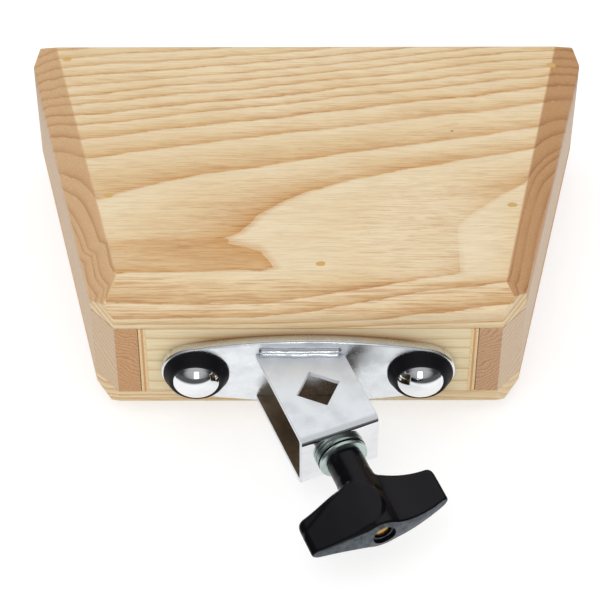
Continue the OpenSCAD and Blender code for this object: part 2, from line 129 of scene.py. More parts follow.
def link(name, bm, material, body, crease=35):
    """Object of a bmesh in millimetres, set into the scene in metres and smooth up to the crease angle."""
    mesh = to_mesh(name, bm)
    mesh.transform(Matrix.Scale(MM, 4))
    smooth(mesh, crease)
    piece = bpy.data.objects.new(name, mesh)
    bpy.context.scene.collection.objects.link(piece)
    mesh.materials.append(material)
    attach(piece, body)
    return piece


def smooth(mesh, crease):
    mesh.polygons.foreach_set("use_smooth", [True] * len(mesh.polygons))
    mesh.set_sharp_from_angle(angle=math.radians(crease))
    mesh.update()


def to_mesh(name, bm):
    """Mesh of a bmesh, whose faces are made to look outwards first."""
    bmesh.ops.recalc_face_normals(bm, faces=bm.faces)
    mesh = bpy.data.meshes.new(name)
    bm.to_mesh(mesh)
    bm.free()
    return mesh


def around(ring):
    """Each item of a closed ring with the next."""
    return zip(ring, ring[1:] + ring[:1])


def skin(bm, rings):
    """Faces between each ring of points and the next."""
    for a, b in zip(rings, rings[1:]):
        for (a0, a1), (b0, b1) in zip(around(a), around(b)):
            bm.faces.new((a0, a1, b1, b0))


def cap(bm, rings):
    """Flat faces over the first and the last ring."""
    bm.faces.new(rings[0][::-1])
    bm.faces.new(rings[-1])


def holed_face(bm, edges, holes, normal):
    """Flat face inside some edges, and the vertices of its holes, whose points are given."""
    made = []
    for points in holes:
        made.append([bm.verts.new(point) for point in points])
        edges += [bm.edges.new(pair) for pair in around(made[-1])]
    bmesh.ops.triangle_fill(bm, edges=edges, use_beauty=True, normal=normal)
    return made


def circle(steps):
    """Directions round a circle, as cosines and sines."""
    turns = [2 * math.pi * i / steps for i in range(steps)]
    return [(math.cos(turn), math.sin(turn)) for turn in turns]


def prism(outline, low, high):
    """Bmesh of an outline in X and Y, raised from low to high."""
    bm = bmesh.new()
    rings = [[bm.verts.new((x, y, z)) for x, y in outline] for z in (low, high)]
    skin(bm, rings)
    cap(bm, rings)
    return bm


def cut(bm, point, normal):
    """Cuts away what lies on the normal's side of a plane, and closes the cut."""
    parts = list(bm.verts) + list(bm.edges) + list(bm.faces)
    made = bmesh.ops.bisect_plane(
        bm, geom=parts, plane_co=point, plane_no=normal, clear_outer=True, dist=1e-5)
    edges = [e for e in made["geom_cut"] if isinstance(e, bmesh.types.BMEdge)]
    if edges:
        bmesh.ops.holes_fill(bm, edges=edges, sides=0)


def lathe(profile, steps, frame_matrix, bm=None):
    """Turns a closed profile of (radius, height) points about the frame's Z axis."""
    bm = bm or bmesh.new()
    rings = []
    for radius, height in profile:
        ways = circle(steps) if radius > 1e-6 else [(0, 0)]
        rings.append([bm.verts.new(frame_matrix @ Vector((radius * c, radius * s, height))) for c, s in ways])
    for a, b in around(rings):
        if len(a) == 1 and len(b) == 1:
            continue
        for i in range(steps):
            j = (i + 1) % steps
            corners = [a[i % len(a)], a[j % len(a)], b[j % len(b)], b[i % len(b)]]
            bm.faces.new(list(dict.fromkeys(corners)))
    return bm


def soften(piece, width, segments=3, angle=30):
    """Rounds a piece's edges by a width in millimetres."""
    modifier = piece.modifiers.new("soft_edges", "BEVEL")
    modifier.width = width * MM
    modifier.segments = segments
    modifier.limit_method = "ANGLE"
    modifier.angle_limit = math.radians(angle)
    modifier.harden_normals = True


def arc_points(centre, radius, start, end, steps):
    """Points of an arc from one direction to another, in radians."""
    turns = [start + (end - start) * i / steps for i in range(steps + 1)]
    return [(centre[0] + radius * math.cos(turn), centre[1] + radius * math.sin(turn)) for turn in turns]


# Materials

def srgb(red, green, blue):
    """Linear colour of a screen colour from 0 to 255."""
    def linear(value):
        share = value / 255
        return share / 12.92 if share <= 0.04045 else ((share + 0.055) / 1.055) ** 2.4
    return (linear(red), linear(green), linear(blue), 1.0)


class Number:
    """A number that nodes work out at each point of a surface. A sum with it makes a Math node."""

    def __init__(self, shader, socket):
        self.shader = shader
        self.socket = socket

    def __add__(self, other):
        return self.shader.math("ADD", self, other)

    def __sub__(self, other):
        return self.shader.math("SUBTRACT", self, other)

    def __rsub__(self, other):
        return self.shader.math("SUBTRACT", other, self)

    def __mul__(self, other):
        return self.shader.math("MULTIPLY", self, other)

    def __truediv__(self, other):
        return self.shader.math("DIVIDE", self, other)

    def __pow__(self, other):
        return self.shader.math("POWER", self, other)

    def __abs__(self):
        return self.shader.math("ABSOLUTE", self)

    def __neg__(self):
        return self * -1

    __radd__ = __add__
    __rmul__ = __mul__


class Shader:
    """Nodes of one material or world. Each call takes plain values, Numbers and sockets alike."""

    def __init__(self, name, kind=bpy.data.materials):
        self.owner = kind.new(name)
        self.owner.use_nodes = True
        self.tree = self.owner.node_tree
        self.tree.nodes.clear()

    def plug(self, socket, value):
        if isinstance(value, Number):
            value = value.socket
        if isinstance(value, bpy.types.NodeSocket):
            self.tree.links.new(value, socket)
        elif value is not None:
            socket.default_value = value

    def node(self, kind, inputs=None, **settings):
        made = self.tree.nodes.new(kind)
        for key, value in settings.items():
            setattr(made, key, value)
        for key, value in (inputs or {}).items():
            self.plug(made.inputs[key], value)
        return made

    def axes(self, vector):
        """The three Numbers of a vector."""
        return [Number(self, part) for part in self.node("ShaderNodeSeparateXYZ", {0: vector}).outputs]

    def join(self, x, y, z):
        return self.node("ShaderNodeCombineXYZ", {0: x, 1: y, 2: z}).outputs[0]

    def place(self, scale=1.0):
        """The object's own coordinates in millimetres, times a scale, which may differ along the axes."""
        scales = scale if isinstance(scale, tuple) else (scale,) * 3
        source = self.node("ShaderNodeTexCoord").outputs["Object"]
        factors = [one / MM for one in scales]
        return self.node("ShaderNodeVectorMath", {0: source, 1: factors}, operation="MULTIPLY").outputs[0]

    def normal(self):
        return self.axes(self.node("ShaderNodeTexCoord").outputs["Normal"])

    def math(self, operation, *values, clamp=False):
        made = self.node("ShaderNodeMath", dict(enumerate(values)), operation=operation)
        made.use_clamp = clamp
        return Number(self, made.outputs[0])

    def clamp(self, value):
        """The value, held between 0 and 1."""
        return self.math("ADD", value, 0.0, clamp=True)

    def least(self, first, second):
        return self.math("MINIMUM", first, second)

    def most(self, first, second):
        return self.math("MAXIMUM", first, second)

    def length(self, first, second):
        return self.math("SQRT", first * first + second * second)

    def fract(self, value):
        return self.math("FRACT", value)

    def fade(self, value, rate=1.0):
        """1 at zero, falling towards 0 as the value grows."""
        return self.math("EXPONENT", value * -rate)

    def step(self, value, start, end, low=0.0, high=1.0):
        """Smooth step of a value from start to end."""
        made = self.node("ShaderNodeMapRange", {
            "Value": value, "From Min": start, "From Max": end, "To Min": low, "To Max": high,
        }, interpolation_type="SMOOTHSTEP")
        return Number(self, made.outputs[0])

    def noise(self, vector, detail=2.0, rough=0.5):
        made = self.node("ShaderNodeTexNoise", {
            "Vector": vector, "Scale": 1.0, "Detail": detail, "Roughness": rough})
        return Number(self, made.outputs["Fac"])

    def grain(self, scale, detail=2.0, rough=0.5):
        """Noise in the object's own place, drawn out along the axes whose scale is small."""
        return self.noise(self.place(scale), detail, rough)

    def waver(self, scale, reach, detail=2.0, rough=0.5):
        """Noise about zero, whose whole swing is the reach."""
        return (self.grain(scale, detail, rough) - 0.5) * reach

    def mix(self, share, first, second):
        made = self.node("ShaderNodeMix", data_type="RGBA")
        for number, value in ((0, share), (6, first), (7, second)):
            self.plug(made.inputs[number], value)
        return made.outputs[2]

    def bump(self, height, distance, normal=None):
        """Bump of a height from 0 to 1, whose full depth is a distance in millimetres."""
        return self.node("ShaderNodeBump", {
            "Height": height, "Distance": distance * MM, "Strength": 1.0, "Normal": normal}).outputs[0]

    def finish(self, **inputs):
        """Ends in one surface shader, whose inputs are named with _ for each space."""
        shader = self.node("ShaderNodeBsdfPrincipled")
        for key, value in inputs.items():
            self.plug(shader.inputs[key.replace("_", " ")], value)
        self.node("ShaderNodeOutputMaterial", {"Surface": shader.outputs[0]})
        return self.owner


# Growth rings of the top panel, by their distance from the tree's heart: close together towards the mouth
RINGS = (
    20, 26, 32, 38, 44, 49, 52.2, 59.4, 66.4, 76.5, 83.7, 89.6, 94.1, 99, 103.4, 107.7, 112.4,
    117.2, 122.1, 127, 132, 137, 142, 147, 152, 157)
RING_REACH, RINGS_BEFORE = 160, 3
HEART_V, HEART_SLOPE, HEART_DEPTH, TAPER, RING_TILT = 34.6, 0.052, 57, 0.075, 1.4
TIP_V, TIP_SLOPE, TIP_REACH, TIP_HUMP = 44.2, 0.05, 31, 0.85
TONGUE_V, TONGUE_SLOPE = 63, 0.04
LATE_SHARE, CLOSE_THINNER = 0.32, 0.12
PATCH_U, PATCH_V, PATCH_R = 50, 42, 42
KNOTS, KNOT_R = ((63.2, -16.2), (109.9, -7.6)), 1.0
WALL_RING_GAP, WALL_END_GAP, PINE_RING_GAP = 3.6, 2.2, 7.2
# strength and reach in millimetres of the painted shadow on the pine above the plate
PLATE_SHADOW, PLATE_SHADOW_REACH = 0.95, 3.4
PLY_CORE_HALF_T = 0.35
WOOD_SHINE, RUBBER_SHINE, PLASTIC_SHINE = 0.3, 0.18, 0.16


def ring_phase(s, distance):
    """Number of the growth ring at a distance, as a smooth curve through the rings' places."""
    count = len(RINGS) + RINGS_BEFORE
    curve = s.node("ShaderNodeFloatCurve", {"Value": s.clamp(distance / RING_REACH)})
    line = curve.mapping.curves[0]
    while len(line.points) > 2:
        line.points.remove(line.points[1])
    line.points[0].location = (0, 0)
    line.points[-1].location = (1, 1)
    for number, place in enumerate(RINGS):
        point = line.points.new(place / RING_REACH, (number + RINGS_BEFORE) / count)
        point.handle_type = "AUTO_CLAMPED"
    curve.mapping.update()
    return Number(s, curve.outputs[0]) * count


def ring_distance(s, u, v, v_bent, y, depth, close):
    """Distance of a point in the board from the tree's heart, as the rings see it."""
    # depth below the face, told apart for the bevel at the clamp end and those along the flanks
    end_depth = s.most(y - (HALF_L - BEVEL_INSET), 0) * (BEVEL_DROP / BEVEL_INSET)
    end_depth = s.least(end_depth, depth)
    side_depth = depth - end_depth
    behind = s.least(v_bent + u * HEART_SLOPE - HEART_V, 0)
    below = HEART_DEPTH - side_depth * RING_TILT - end_depth * s.step(v, 45, 62, RING_TILT, 0)
    # pointed tips: the rings swell on both sides of the line through the tips
    past_tip = v_bent + u * TIP_SLOPE - TIP_V
    hump = s.math("SINE", s.clamp(past_tip / -TIP_REACH) * math.pi)
    hump = hump ** s.step(u, 0, 50, 1, 1.9) * TIP_HUMP
    low_arm = s.math("SQRT", s.most(past_tip, 0)) * s.step(u, -10, 50, 0.32, 0)
    left_arm = s.least(u + 20, 0) * s.step(v_bent, 43, 50, 0, 0.05)
    # towards the clamp end the board's face and bevel cut down through the rings
    tongue = s.most(v_bent + end_depth * 0.8 - u * TONGUE_SLOPE - TONGUE_V, 0)
    drop = tongue * tongue / (tongue + 2) * 0.45
    # the close rings by the mouth run flatter at the left
    flatter = s.least(u + 30, 0) * close * 0.035
    return s.length(behind, below) - u * TAPER - drop + hump + low_arm + left_arm + flatter


def late_wood(s, x, y, u, v, phase, close):
    """Dark share of each ring: a sharp line that fades towards the next ring."""
    since, ring = s.fract(phase), s.math("FLOOR", phase)
    body = s.fade((since / (LATE_SHARE - close * CLOSE_THINNER)) ** 1.5)
    edge = s.fade(since, 13)
    ahead = s.step(since, 0.95 - close * CLOSE_THINNER, 1)
    own = s.node("ShaderNodeTexWhiteNoise", {"W": ring}, noise_dimensions="1D").outputs["Value"]
    along = s.noise(s.join(x * 0.02, y * 0.06, ring), 3)
    late = (body * 0.68 + edge * 0.34 + ahead * 0.5) * (Number(s, own) * 0.3 + 0.7)
    late = s.clamp(late * s.step(along, 0.2, 0.6, 0.6, 1.15))
    faint = s.step(u, 20, 60) * s.step(v, 5, 30) * s.step(v, 58, 66, 1, 0)
    return late * (1 - faint * 0.5)


def ash(name, top, shift=(0.0, 0.0)):
    """Ash board with its grain along X and its rings where the photo shows them on the playing face.

    U runs to the image's right and V towards the clamp end, both from the middle of the face.
    """
    pale, warm = srgb(242, 224, 187), srgb(232, 207, 163)
    bright, early = srgb(249, 236, 208), srgb(241, 226, 196)
    hair_brown, pore_brown, streak_brown = srgb(210, 172, 124), srgb(200, 154, 106), srgb(188, 134, 82)
    face_line, face_dark = srgb(210, 162, 104), srgb(180, 122, 66)
    bevel_line, bevel_dark, bevel_shade = srgb(196, 146, 92), srgb(160, 104, 56), srgb(206, 160, 108)
    knot_brown = srgb(104, 68, 40)
    shaded_end, shaded_end_pale, shaded_end_line = srgb(192, 144, 99), srgb(214, 168, 120), srgb(158, 102, 60)
    lit_end, lit_end_pale, lit_end_line = srgb(207, 166, 121), srgb(228, 190, 145), srgb(180, 130, 86)
    s = Shader(name)
    x, y, z = s.axes(s.place())
    u, v = shift[0] - x, y + shift[1]
    depth = BLOCK_H - z if top else z
    v_bent = v + s.waver((0.016, 0.03, 0.03), 4) + s.waver((0.05, 0.22, 0.22), 2.4, 3)
    v_bent = v_bent + s.waver((0.16, 1.1, 1.1), 1.5, 3, 0.6)
    close = s.step(v, -75, 0, 1, 0)
    phase = ring_phase(s, ring_distance(s, u, v, v_bent, y, depth, close))
    late = late_wood(s, x, y, u, v, phase, close)
    nx, ny, nz = s.normal()
    bevel = s.step(ny, 0.4, 0.55) * s.step(nz, 0.3, 0.5)
    # ground: cloudy, with one bright patch between the tips, and paler early wood
    cloud = s.step(s.grain((0.012, 0.03, 0.03), 3), 0.3, 0.7)
    colour = s.mix(s.clamp(cloud + s.step(u, -90, 90, 0.25, 0.3)), pale, warm)
    patch = s.step(s.length(u - PATCH_U, v_bent - PATCH_V), 0.35 * PATCH_R, PATCH_R, 1, 0) * (1 - bevel)
    colour = s.mix(patch * 0.45, colour, bright)
    # pores and rays: short streaks along the grain, thicker in the late wood
    pore = s.step(s.grain((0.1, 1.25, 1.25), 3, 0.65), 0.5, 0.64)
    hair = s.step(s.grain((0.07, 2.6, 2.6), 3, 0.65), 0.47, 0.66)
    colour = s.mix(hair * 0.42, colour, hair_brown)
    colour = s.mix(pore * (late * 0.4 + 0.26), colour, pore_brown)
    colour = s.mix(s.step(s.fract(phase), 0.4, 0.9, 0, 0.4), colour, early)
    line = s.mix(bevel, s.mix(hair, face_line, face_dark), s.mix(hair, bevel_line, bevel_dark))
    colour = s.mix(late * (1 - patch * 0.6), colour, line)
    streak = s.step(s.grain((0.028, 1.5, 1.5), 3, 0.65), 0.49, 0.62)
    colour = s.mix(streak * (bevel * 0.5 + 0.12), colour, streak_brown)
    for knot_u, knot_v in KNOTS if top else ():
        away = s.length(u - knot_u, (v - knot_v) * 1.5)
        colour = s.mix(s.step(away, 0.3 * KNOT_R, KNOT_R, 0.7, 0), colour, knot_brown)
    # painted shade: the clamp bevel tinted a little darker than the face
    colour = s.mix(bevel * 0.06, colour, bevel_shade)
    # end grain on the faces cut across the boards, painted lighter on +X and darker on -X: painted light and
    # shade
    across = s.step(abs(nx), 0.12, 0.62) * s.step(abs(ny), 0.35, 0.5, 1, 0)
    dots = s.step(s.grain(2.2, 2, 0.6), 0.35, 0.7)
    # 1 on +X, where the end grain takes its painted lit colours, and 0 on -X, where it takes its painted
    # shaded ones
    side = s.step(x, -40, 40)
    end = s.mix(side, s.mix(dots, shaded_end, shaded_end_pale), s.mix(dots, lit_end, lit_end_pale))
    end = s.mix(late * 0.8, end, s.mix(side, shaded_end_line, lit_end_line))
    return s.finish(
        Base_Color=s.mix(across, colour, end), Roughness=hair * 0.12 + 0.42,
        Normal=s.bump((hair + pore) * -0.5, 0.06), Specular_IOR_Level=WOOD_SHINE)


def along_y(name, colours, slant):
    """Board whose grain runs along Y, with flat-sawn lines and end grain on its ends.

    The colours are the light, dark and line of its sides, and then those of its ends.
    """
    light, dark, line, end_light, end_dark, end_line = [srgb(*one) for one in colours]
    s = Shader(name)
    x, y, z = s.axes(s.place())
    since = s.fract((z + x * slant + s.waver((0.04, 0.012, 0.04), 9)) / WALL_RING_GAP)
    late = s.fade(since, 7) * 0.75 + s.step(since, 0.9, 1) * 0.5
    hair = s.step(s.grain((2.6, 0.09, 2.6), 3, 0.6), 0.45, 0.7)
    colour = s.mix(s.clamp(late * 0.8), s.mix(hair, light, dark), line)
    dots = s.step(s.grain(2.0, 3, 0.65), 0.35, 0.68)
    ring = s.fract((z + x * (0.75 * slant) + s.waver(0.09, 12)) / WALL_END_GAP)
    ring = s.clamp(s.fade(ring, 4) + s.step(ring, 0.85, 1))
    end = s.mix(ring * 0.62, s.mix(dots, end_dark, end_light), end_line)
    ends = s.step(abs(s.normal()[1]), 0.75, 0.9)
    return s.finish(
        Base_Color=s.mix(ends, colour, end), Roughness=hair * 0.12 + 0.46,
        Normal=s.bump(-hair, 0.05), Specular_IOR_Level=WOOD_SHINE)


def pine_board(name):
    """Pale pine with its grain along X: wide soft rings and thin late lines, with a painted brown shadow
    above the plate.
    """
    pale, warm = srgb(240, 224, 186), srgb(231, 208, 163)
    line, shadow_brown = srgb(208, 168, 112), srgb(152, 106, 58)
    s = Shader(name)
    x, y, z = s.axes(s.place())
    since = s.fract((z + y * 0.3 + s.waver((0.01, 0.05, 0.05), 8)) / PINE_RING_GAP)
    late = s.fade(since, 9) + s.step(since, 0.9, 1)
    hair = s.step(s.grain((0.06, 2.4, 2.4), 3), 0.42, 0.7)
    colour = s.mix(s.clamp(late * 0.72), s.mix(hair, pale, warm), line)
    # painted shadow: brown on the pine just above the plate's upper edge, fading away from it and towards the
    # plate's ends
    past = s.length(x, z - (PLATE_Z + PLATE_HALF_H - PLATE_SIDE_R)) - PLATE_SIDE_R
    plate_shadow = s.fade(s.most(past, 0), 1 / PLATE_SHADOW_REACH) * s.step(abs(x), 38, 66, PLATE_SHADOW, 0)
    return s.finish(
        Base_Color=s.mix(plate_shadow, colour, shadow_brown), Roughness=hair * 0.1 + 0.48,
        Normal=s.bump(hair, 0.04), Specular_IOR_Level=WOOD_SHINE)


def plywood(name):
    """Thin plies on edge, pale with one darker core ply."""
    pale, warm, core_brown = srgb(240, 214, 168), srgb(224, 188, 134), srgb(196, 140, 88)
    s = Shader(name)
    x, y, z = s.axes(s.place())
    hairs = s.grain((1.2, 0.3, 2.0), 3)
    across = abs(x) - (y * -math.tan(FLARE) + half_w(0, SIDE_WALL_T + LINER_T / 2))
    core = s.step(abs(across), PLY_CORE_HALF_T, PLY_CORE_HALF_T + 0.2, 1, 0)
    colour = s.mix(core * 0.75, s.mix(s.step(hairs, 0.35, 0.7), pale, warm), core_brown)
    return s.finish(
        Base_Color=colour, Roughness=0.5, Normal=s.bump(hairs, 0.05), Specular_IOR_Level=WOOD_SHINE)


def metal(name, colour, tint, rough, wave=0.01, wave_size=0.2, pits=0.0, grain=0.0, metallic=1.0):
    """Plated metal in two tints: slightly wavy, with fine wear in its roughness."""
    s = Shader(name)
    smear = s.grain(0.12, 3, 0.6)
    normal = s.bump(s.grain(wave_size), wave)
    if pits:
        normal = s.bump(s.step(s.grain(0.9, 2, 0.7), 0.3, 0.42), pits, normal)
    if grain:
        normal = s.bump(s.grain(1.6, 3, 0.6), grain, normal)
    return s.finish(
        Base_Color=s.mix(s.step(smear, 0.35, 0.7), srgb(*colour), srgb(*tint)), Metallic=metallic,
        Roughness=s.step(smear, 0.4, 0.75) * (rough * 0.6) + rough, Normal=normal)


def speckled(name, colour, tint, grain, rough, wear, depth, shine):
    """Matt stuff in two tints, whose fine grain shows in its colour, roughness and surface."""
    s = Shader(name)
    fine = s.grain(*grain)
    return s.finish(
        Base_Color=s.mix(fine, srgb(*colour), srgb(*tint)), Roughness=fine * wear + rough,
        Normal=s.bump(fine, depth), Specular_IOR_Level=shine)


def gloss_plastic(name):
    """Black moulded plastic. The face square to the screw's axis is duller, and greyer by a painted
    reflection of the bright floor.
    """
    black, soft_black = srgb(8, 8, 12), srgb(14, 14, 19)
    dull_sheen_dark, dull_sheen_light = srgb(66, 71, 77), srgb(98, 104, 110)
    s = Shader(name)
    fine = s.grain(1.2, 3, 0.6)
    nx, ny, nz = s.normal()
    facing = nx * -math.sin(BRACKET_LEAN) + ny * math.cos(BRACKET_LEAN)
    end = s.step(facing, 0.8, 0.93)
    # painted reflection: grey on the end face, in two mottled tones
    dull_sheen = s.mix(s.step(s.grain(0.35, 3, 0.7), 0.3, 0.7), dull_sheen_dark, dull_sheen_light)
    return s.finish(
        Base_Color=s.mix(end, s.mix(fine, black, soft_black), dull_sheen), Roughness=fine * 0.08 + 0.16 + end * 0.1,
        Normal=s.bump(fine, 0.002, s.bump(s.grain(0.12), 0.06)), Specular_IOR_Level=PLASTIC_SHINE)


ASH_TOP = ash("ash_top", True)
ASH_BOTTOM = ash("ash_bottom", False, shift=(31.0, -22.0))
LEFT_WALL_COLOURS = (
    (218, 195, 168), (206, 176, 144), (178, 132, 96), (222, 184, 146), (190, 143, 106), (160, 110, 76))
RIGHT_WALL_COLOURS = (
    (216, 191, 160), (203, 172, 137), (178, 130, 90), (226, 184, 138), (194, 144, 98), (164, 110, 70))
WALL_LEFT = along_y("ash_wall_left", LEFT_WALL_COLOURS, 0.9)
WALL_RIGHT = along_y("ash_wall_right", RIGHT_WALL_COLOURS, -0.9)
PINE = pine_board("pine")
PLY = plywood("ply")
CHROME = metal("chrome", (240, 241, 243), (232, 234, 237), 0.06, 0.03, 0.06)
CHROME_SHEET = metal("chrome_sheet", (226, 231, 236), (219, 224, 230), 0.36, 0.02, 0.05, metallic=0.4)
CHROME_PLATE = metal("chrome_plate", (237, 241, 244), (228, 232, 236), 0.27, 0.03, 0.07, pits=0.012)
CHROME_WELD = metal("chrome_weld", (224, 227, 231), (218, 221, 226), 0.2, grain=0.002)
# chrome of the bracket's inner faces, painted brown and darker: painted shade inside the fold and a painted
# reflection of the wood
CHROME_INSIDE_SHADED = metal("chrome_inside_shaded", (146, 126, 104), (122, 104, 84), 0.34, 0.03, 0.1, grain=0.004)
ZINC = metal("zinc", (190, 205, 200), (178, 196, 190), 0.28, grain=0.002)
ZINC_DARK = metal("zinc_dark", (150, 164, 160), (164, 178, 172), 0.25, grain=0.002)
GOLD = metal("gold_zinc", (206, 158, 86), (222, 182, 112), 0.25, grain=0.004)
# near-black for the faces in the gap between the nut and the washer: painted shade
GAP_SHADE = metal("paint_gap_shade", (44, 42, 38), (30, 30, 28), 0.5, 0.01, 0.3, grain=0.01)
RUBBER = speckled("rubber", (10, 10, 14), (19, 18, 25), (1.5, 3, 0.6), 0.42, 0.15, 0.02, RUBBER_SHINE)
PLASTIC = gloss_plastic("plastic")
PUTTY = speckled("putty", (222, 186, 118), (198, 158, 92), (0.9, 3, 0.7), 0.5, 0.1, 0.08, WOOD_SHINE)


# Block

def block_outline():
    """Outline of the whole block, seen from above, turning left."""
    right = [
        (CLAMP_END_W / 2 - CORNER_END, HALF_L),
        (half_w(HALF_L - CORNER_SIDE), HALF_L - CORNER_SIDE),
        (half_w(CORNER_SIDE - HALF_L), CORNER_SIDE - HALF_L),
        (MOUTH_W / 2 - CORNER_END, -HALF_L),
    ]
    return right[::-1] + [(-x, y) for x, y in right]


def bevel_plane(near, far, outward, inset, drop, level, up):
    """Plane of a bevel along an edge: a point and its outward normal. The inset is its reach at each end."""
    a = Vector((near[0], near[1], level)) - outward * inset[0]
    b = Vector((far[0], far[1], level)) - outward * inset[1]
    low = Vector((near[0], near[1], level - up * drop))
    normal = (b - a).cross(low - a).normalized()
    if normal.z * up < 0:
        normal.negate()
    return a, normal


def panel_mesh(level, up, side_left, side_right, clamp_bevel):
    """Panel with its face at a level. up is 1 for a face that looks up and -1 for one that looks down."""
    low, high = sorted((level, level - up * PANEL_T))
    bm = prism(block_outline(), low, high)
    flank = Vector((math.cos(FLARE), math.sin(FLARE), 0))
    for side, reach in ((1, side_left), (-1, side_right)):
        mouth = (side * half_w(-HALF_L), -HALF_L)
        clamp = (side * half_w(HALF_L), HALF_L)
        outward = Vector((side * flank.x, flank.y, 0))
        cut(bm, *bevel_plane(mouth, clamp, outward, reach, BEVEL_DROP, level, up))
    for side, reach in ((1, clamp_bevel), (-1, (BEVEL_INSET, BEVEL_INSET))):
        ends = (CLAMP_END_W / 2, side * HALF_L), (-CLAMP_END_W / 2, side * HALF_L)
        cut(bm, *bevel_plane(ends[0], ends[1], Vector((0, side, 0)), reach, BEVEL_DROP, level, up))
    return bm


def make_panels():
    even = (BEVEL_INSET, BEVEL_INSET)
    top = panel_mesh(BLOCK_H - FILLER_STAND, 1, SIDE_BEVEL_LEFT, SIDE_BEVEL_RIGHT, CLAMP_BEVEL)
    bottom = panel_mesh(0, -1, even, even, even)
    for word, bm, material, soft in (("top", top, ASH_TOP, 0.8), ("bottom", bottom, ASH_BOTTOM, 0.45)):
        piece = link(word + "_board", bm, material, "root", 20)
        soften(piece, soft)
        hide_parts(word + "_panel")


def flank_board(side, near, far):
    """Board between two depths from a flank, inside the block's outline."""
    bm = prism([
        (half_w(-HALF_L, far), -HALF_L),
        (half_w(-HALF_L, near), -HALF_L),
        (half_w(HALF_L, near), HALF_L),
        (half_w(HALF_L, far), HALF_L),
    ], WALL_FOOT, WALL_TOP)
    for end, x0 in ((1, CLAMP_END_W / 2), (-1, MOUTH_W / 2)):
        a = Vector((x0 - CORNER_END, end * HALF_L, 0))
        b = Vector((half_w(end * (HALF_L - CORNER_SIDE)), end * (HALF_L - CORNER_SIDE), 0))
        normal = (b - a).cross(Vector((0, 0, 1))).normalized()
        if normal.x < 0:
            normal.negate()
        cut(bm, a, normal)
    if side < 0:
        bmesh.ops.transform(bm, matrix=Matrix.Scale(-1, 4, (1, 0, 0)), verts=bm.verts)
    return bm


def make_walls():
    inner = SIDE_WALL_T + LINER_T
    for side, word, wall_material in ((1, "right", WALL_RIGHT), (-1, "left", WALL_LEFT)):
        for name, node, near, far, material, slot, soft in (
                ("_flank_wall", "_wall", 0, SIDE_WALL_T - BOARD_GAP, wall_material, "ash_wall", 0.25),
                ("_ply_strip", "_liner", SIDE_WALL_T + BOARD_GAP, inner, PLY, "ply", 0.15)):
            piece = link(word + name, flank_board(side, near, far), material, "root", 20)
            soften(piece, soft, 2)
            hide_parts(word + node)


def make_putty():
    """Filler in the playing face: irregular ovals that stand a hair above it."""
    bm = bmesh.new()
    levels = ((1.0, -PUTTY_T), (1.0, -1.5 * FILLER_STAND), (0.8, -0.3 * FILLER_STAND), (0.5, 0.0))
    for x, y in PUTTY_SPOTS:
        rings = []
        for share, height in levels:
            ring = []
            for c, s in circle(28):
                ragged = share * (1 + 0.16 * noise.noise(Vector((c * 1.3 + x, s * 1.3 + y, 0))))
                place = (x + PUTTY_HALF_L * ragged * c, y + PUTTY_HALF_W * ragged * s, BLOCK_H + height)
                ring.append(bm.verts.new(place))
            rings.append(ring)
        skin(bm, rings)
        cap(bm, rings)
    piece = link("top_filler", bm, PUTTY, "root", 60)
    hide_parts("top_putty")


# Clamp plate and its bolts

def plate_outline():
    """Long arcs that run into the round ends, in the plate's own X and height."""
    reach, quarter = BOLT_SPACING / 2, math.pi / 2
    touch = math.atan(reach / (PLATE_SIDE_R - PLATE_HALF_H))
    top = arc_points((0, PLATE_HALF_H - PLATE_SIDE_R), PLATE_SIDE_R, quarter - touch, quarter + touch, 64)
    left = arc_points((-reach, 0), PLATE_END_R, quarter + touch, 3 * quarter - touch, 40)
    half = top[:-1] + left[:-1]
    return half + [(-x, -y) for x, y in half]


def make_plate():
    frame_matrix = Matrix.Translation((0, HALF_L, PLATE_Z)) @ Matrix.Rotation(-math.pi / 2, 4, "X")
    outline = [Vector(point) for point in plate_outline()]
    normals = []
    for before, after in zip(outline[-1:] + outline[:-1], outline[1:] + outline[:1]):
        along = (after - before).normalized()
        normals.append(Vector((along.y, -along.x)))
    # outline rings from the back to the front, pulled in round the front edge
    levels = [(0.0, 0.25), (0.25, 0.0), (PLATE_T - PLATE_EDGE_R, 0.0)]
    for c, s in arc_points((0, 0), 1, 0, math.pi / 2, 5)[1:]:
        levels.append((PLATE_T - PLATE_EDGE_R * (1 - s), PLATE_EDGE_R * (1 - c)))
    bm = bmesh.new()
    rings = []
    for height, inset in levels:
        points = [(p - n * inset).to_3d() + Vector((0, 0, height)) for p, n in zip(outline, normals)]
        rings.append([bm.verts.new(frame_matrix @ point) for point in points])
    skin(bm, rings)
    caps = []
    for ring, height in ((rings[0], 0.0), (rings[-1], PLATE_T)):
        edges = [bm.edges.get(pair) for pair in around(ring)]
        holes = [
            [frame_matrix @ Vector((middle + SLEEVE_R * c, SLEEVE_R * s, height)) for c, s in circle(48)]
            for middle in (BOLT_SPACING / 2, -BOLT_SPACING / 2)]
        caps.append(holed_face(bm, edges, holes, (0, 1, 0)))
    for low, high in zip(*caps):
        skin(bm, [low, high])
    piece = link("chromed_plate", bm, CHROME_PLATE, "root", 30)
    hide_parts("clamp_plate")


